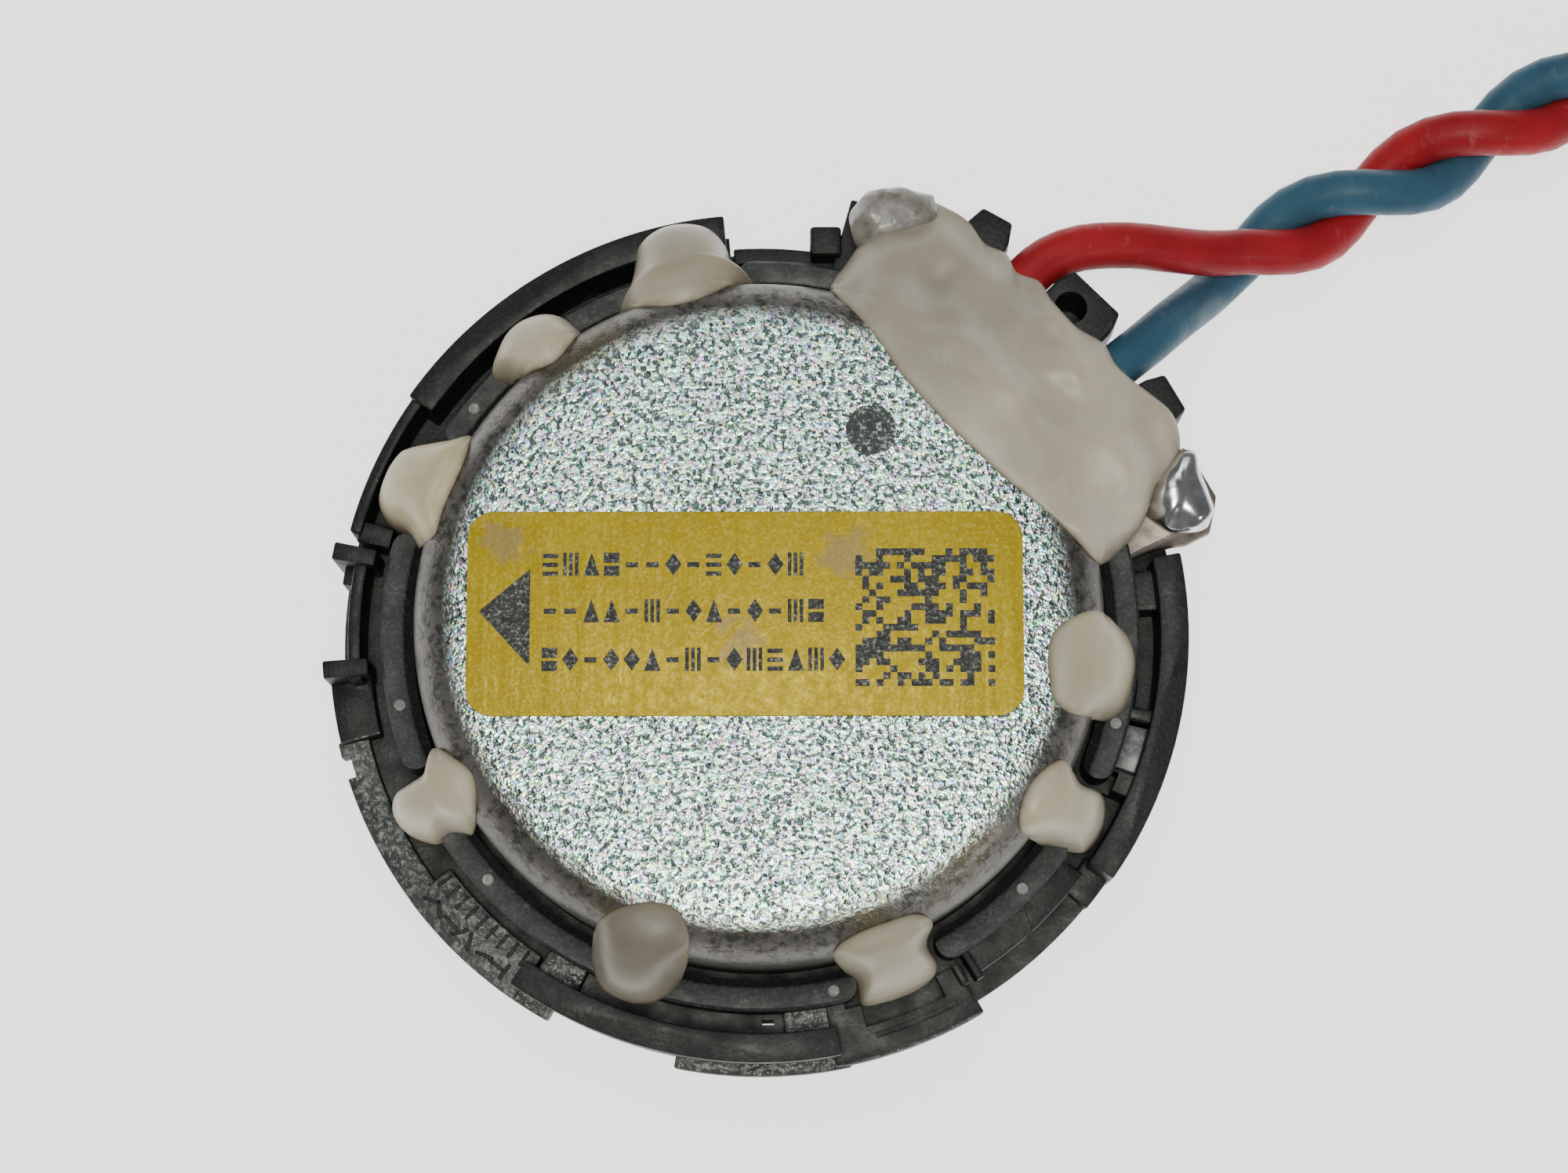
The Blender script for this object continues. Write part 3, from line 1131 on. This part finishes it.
def build_terminals():
    for name in ("upper", "lower"):
        plate = extruded(LUG_OUTLINES[name], LUG_TOP_Z - 0.4, LUG_TOP_Z, 0.1, 3)
        if name == "lower":
            bmesh.ops.bisect_plane(plate, geom=plate.verts[:] + plate.edges[:] + plate.faces[:],
                                   plane_co=(20.2, 4.6, 0), plane_no=(0.45, -0.9, 0))
            for vert in plate.verts:
                fold = max(0.0, 0.45 * (vert.co.x - 20.2) - 0.9 * (vert.co.y - 4.6))
                vert.co.z -= 0.8 * fold
        piece(f"lug_{name}", finish_mesh(plate, "lug"), LUG_TIN, (f"terminal_lug_{name}",))
        rise = 0.8 if name == "upper" else 1.3
        steps = ((0.9, -0.05), (1.0, 0.1), (1.0, 0.3), (0.95, 0.52), (0.84, 0.74), (0.64, 0.92), (0.4, 0.99), (0.16, 1.0))
        shape = lump(SOLDER_OUTLINES[name], [(share, LUG_TOP_Z + rise * h) for share, h in steps], 0.3, 1.3, 2.6)
        piece(f"solder_{name}", finish_mesh(shape, "solder", 80), SOLDER, (f"solder_joint_{name}",))


# ------------------------------------------------------------------ front side

def build_surround():
    """The half roll in equal sectors, each bending from the frame to the moving dome."""
    box_low, box_high = (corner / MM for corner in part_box("surround"))
    inner_r, outer_r = 14.17, box_high.x
    rise = 4.15 - box_low.z
    count = 20
    radii = [lerp(inner_r, outer_r, i / count) for i in range(count + 1)]

    def front(radius):
        t = (radius - inner_r) / (outer_r - inner_r)
        inside = min(1.0, max(0.0, (t - 0.12) / 0.76))
        return 4.15 - rise * math.sin(math.pi * inside) ** 0.8

    profile = [(r, front(r)) for r in reversed(radii)] + [(r, front(r) + 0.18) for r in radii]
    sectors = 16
    span = 360 / sectors
    fine = 8
    for k in range(sectors):
        verts = []
        faces = []
        for j in range(fine + 1):
            verts += [polar(r, k * span + span * j / fine, z) for r, z in profile]
        size = len(profile)
        for j in range(fine):
            a, b = j * size, (j + 1) * size
            faces += [(a + i, b + i, b + (i + 1) % size, a + (i + 1) % size) for i in range(size)]
        faces += [tuple(range(size)), tuple(reversed(range(fine * size, (fine + 1) * size)))]
        mesh = finish_mesh(shape_from(verts, faces), f"surround_{k}", 50)
        mesh.materials.append(SILK)
        item = bpy.data.objects.new(f"surround_sector_{k + 1}", mesh)
        bpy.context.scene.collection.objects.link(item)
        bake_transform(item)
        if k == 0:
            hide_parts("surround")


def build_dome():
    low, high = (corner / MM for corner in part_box("dome_diaphragm"))
    edge_r = high.x
    rim_z = 4.45
    rise = rim_z - low.z
    sphere = (edge_r**2 + rise**2) / (2 * rise)

    def cap(radius, inset):
        return rim_z + sphere - rise - math.sqrt((sphere - inset) ** 2 - radius**2)

    radii = [edge_r * math.sin(math.radians(90 * i / 24)) for i in range(25)]
    profile = [(r * 0.99, cap(r * 0.99, 0.12)) for r in radii] + [(r, cap(r, 0.0)) for r in reversed(radii)]
    profile[0] = (0, profile[0][1])
    profile[-1] = (0, profile[-1][1])
    mesh = finish_mesh(turned(profile, 144), "dome", 50)
    piece("dome_skin", mesh, SILK, ("dome_diaphragm",), body="diaphragm")


def build_grille():
    rings = [turned([(r_out, 0.95), (r_out, 0.35), (r_out - 0.08, 0.3), (r_in + 0.08, 0.3), (r_in, 0.35), (r_in, 0.95)],
                    144, closed=True) for r_in, r_out in ((17.9, 19.4), (12.4, 13.4), (6.8, 7.8))]
    spokes = [turn_about_z(block((16.6, 0.9, 0.6), (10.0, 0, 0.64)), 60 * i + 30) for i in range(6)]
    hub = turned([(0, 1.0), (2.2, 1.0), (2.2, 0.42), (2.05, 0.3), (0, 0.3)], 48)
    piece("grille_moulding", carved("grille", hub, rings + spokes, []), GRILLE, ("front_grille",))


def build_gasket():
    profile = [(21.3, 0.9), (21.3, 0.12), (21.2, 0.03), (21.0, 0.0), (19.9, 0.0), (19.7, 0.03), (19.6, 0.12),
               (19.6, 0.9), (19.7, 1.0), (21.2, 1.0)]
    piece("gasket_foam", finish_mesh(turned(profile, 180, closed=True), "gasket"), FOAM, ("front_gasket",))


# ------------------------------------------------------------------ connector

def build_connector():
    width, length, height = 8.4, 13.0, 5.8
    mid_x = (PLUG_LOW.x + PLUG_HIGH.x) / 2
    back_y = PLUG_LOW.y
    mid_y = back_y + length / 2
    shell = block((width, length, height), (mid_x, mid_y, height / 2), 0, 0.3)
    latch_y = mid_y + 0.6
    additions = [
        block((3.0, 9.6, 0.8), (mid_x, latch_y, height + 0.9), 0, 0.15),
        block((3.0, 1.4, 1.4), (mid_x, latch_y + 4.1, height + 0.4), 0, 0.15),
        block((2.2, 1.0, 0.7), (mid_x, latch_y + 0.4, height + 1.5), 0, 0.15),
        block((0.8, 9.0, 1.0), (mid_x - width / 2, mid_y + 1.5, 1.5), 0, 0.15),
        block((0.8, 9.0, 1.0), (mid_x + width / 2, mid_y + 1.5, 1.5), 0, 0.15),
    ]
    additions += [block((width + 0.3, 0.35, height - 1.2), (mid_x, mid_y + 2.0 + 0.9 * i, 2.9), 0, 0.1)
                  for i in range(4)]
    cuts = []
    for side in (-1, 1):
        x = mid_x + side * PIN_OFFSET
        bore = turned([(0, 4.2), (1.3, 4.2), (1.3, -4.2), (0, -4.2)], 32)
        place = Matrix.Translation((x, back_y, PIN_Z)) @ Matrix.Rotation(math.pi / 2, 4, "X")
        bmesh.ops.transform(bore, matrix=place, verts=bore.verts)
        cuts += [bore, block((2.1, 9.0, 2.1), (x, back_y + 8.0, PIN_Z), 0, 0),
                 block((1.1, 3.0, 1.1), (x, back_y + length, PIN_Z), 0, 0)]
    cuts.append(block((6.8, 1.9, 1.8), (mid_x, back_y + 3.4, height - 0.6), 0, 0))
    mesh = carved("plug", shell, additions, cuts)
    piece("plug_housing", mesh, PLUG, ("connector_housing",))
    lock = block((6.6, 1.7, 1.25), (mid_x, back_y + 3.4, height - 0.77), 0, 0.12)
    piece("plug_lock", finish_mesh(lock, "lock"), LOCK, ("connector_lock",))
    return bpy.data.objects["plug_housing"], bpy.data.objects["plug_lock"]


# ------------------------------------------------------------------ pieces kept from the CAD

def dress_cad_nodes():
    kept = {
        "top_plate": STEEL, "magnet_disc": NICKEL, "damping_pad": FELT, "voice_coil_former": FILM,
        "voice_coil_winding": COPPER, "diaphragm_ring": BLACK, "coil_lead_out_upper": COPPER,
        "coil_lead_out_lower": COPPER, "bared_end_red": TIN, "bared_end_blue": TIN,
        "connector_pin_red": TIN, "connector_pin_blue": TIN,
    }
    for name, material in kept.items():
        mesh = frame["nodes"][name].data
        mesh.materials.clear()
        mesh.materials.append(material)


add_camera()
add_studio()
add_floor()
add_leads(*build_connector())
build_chassis()
add_ejector_marks()
add_moulded_marks()
build_cup()
build_label()
build_ink_dot()
build_glue()
build_bead()
build_lump()
build_terminals()
build_surround()
build_dome()
build_grille()
build_gasket()
dress_cad_nodes()
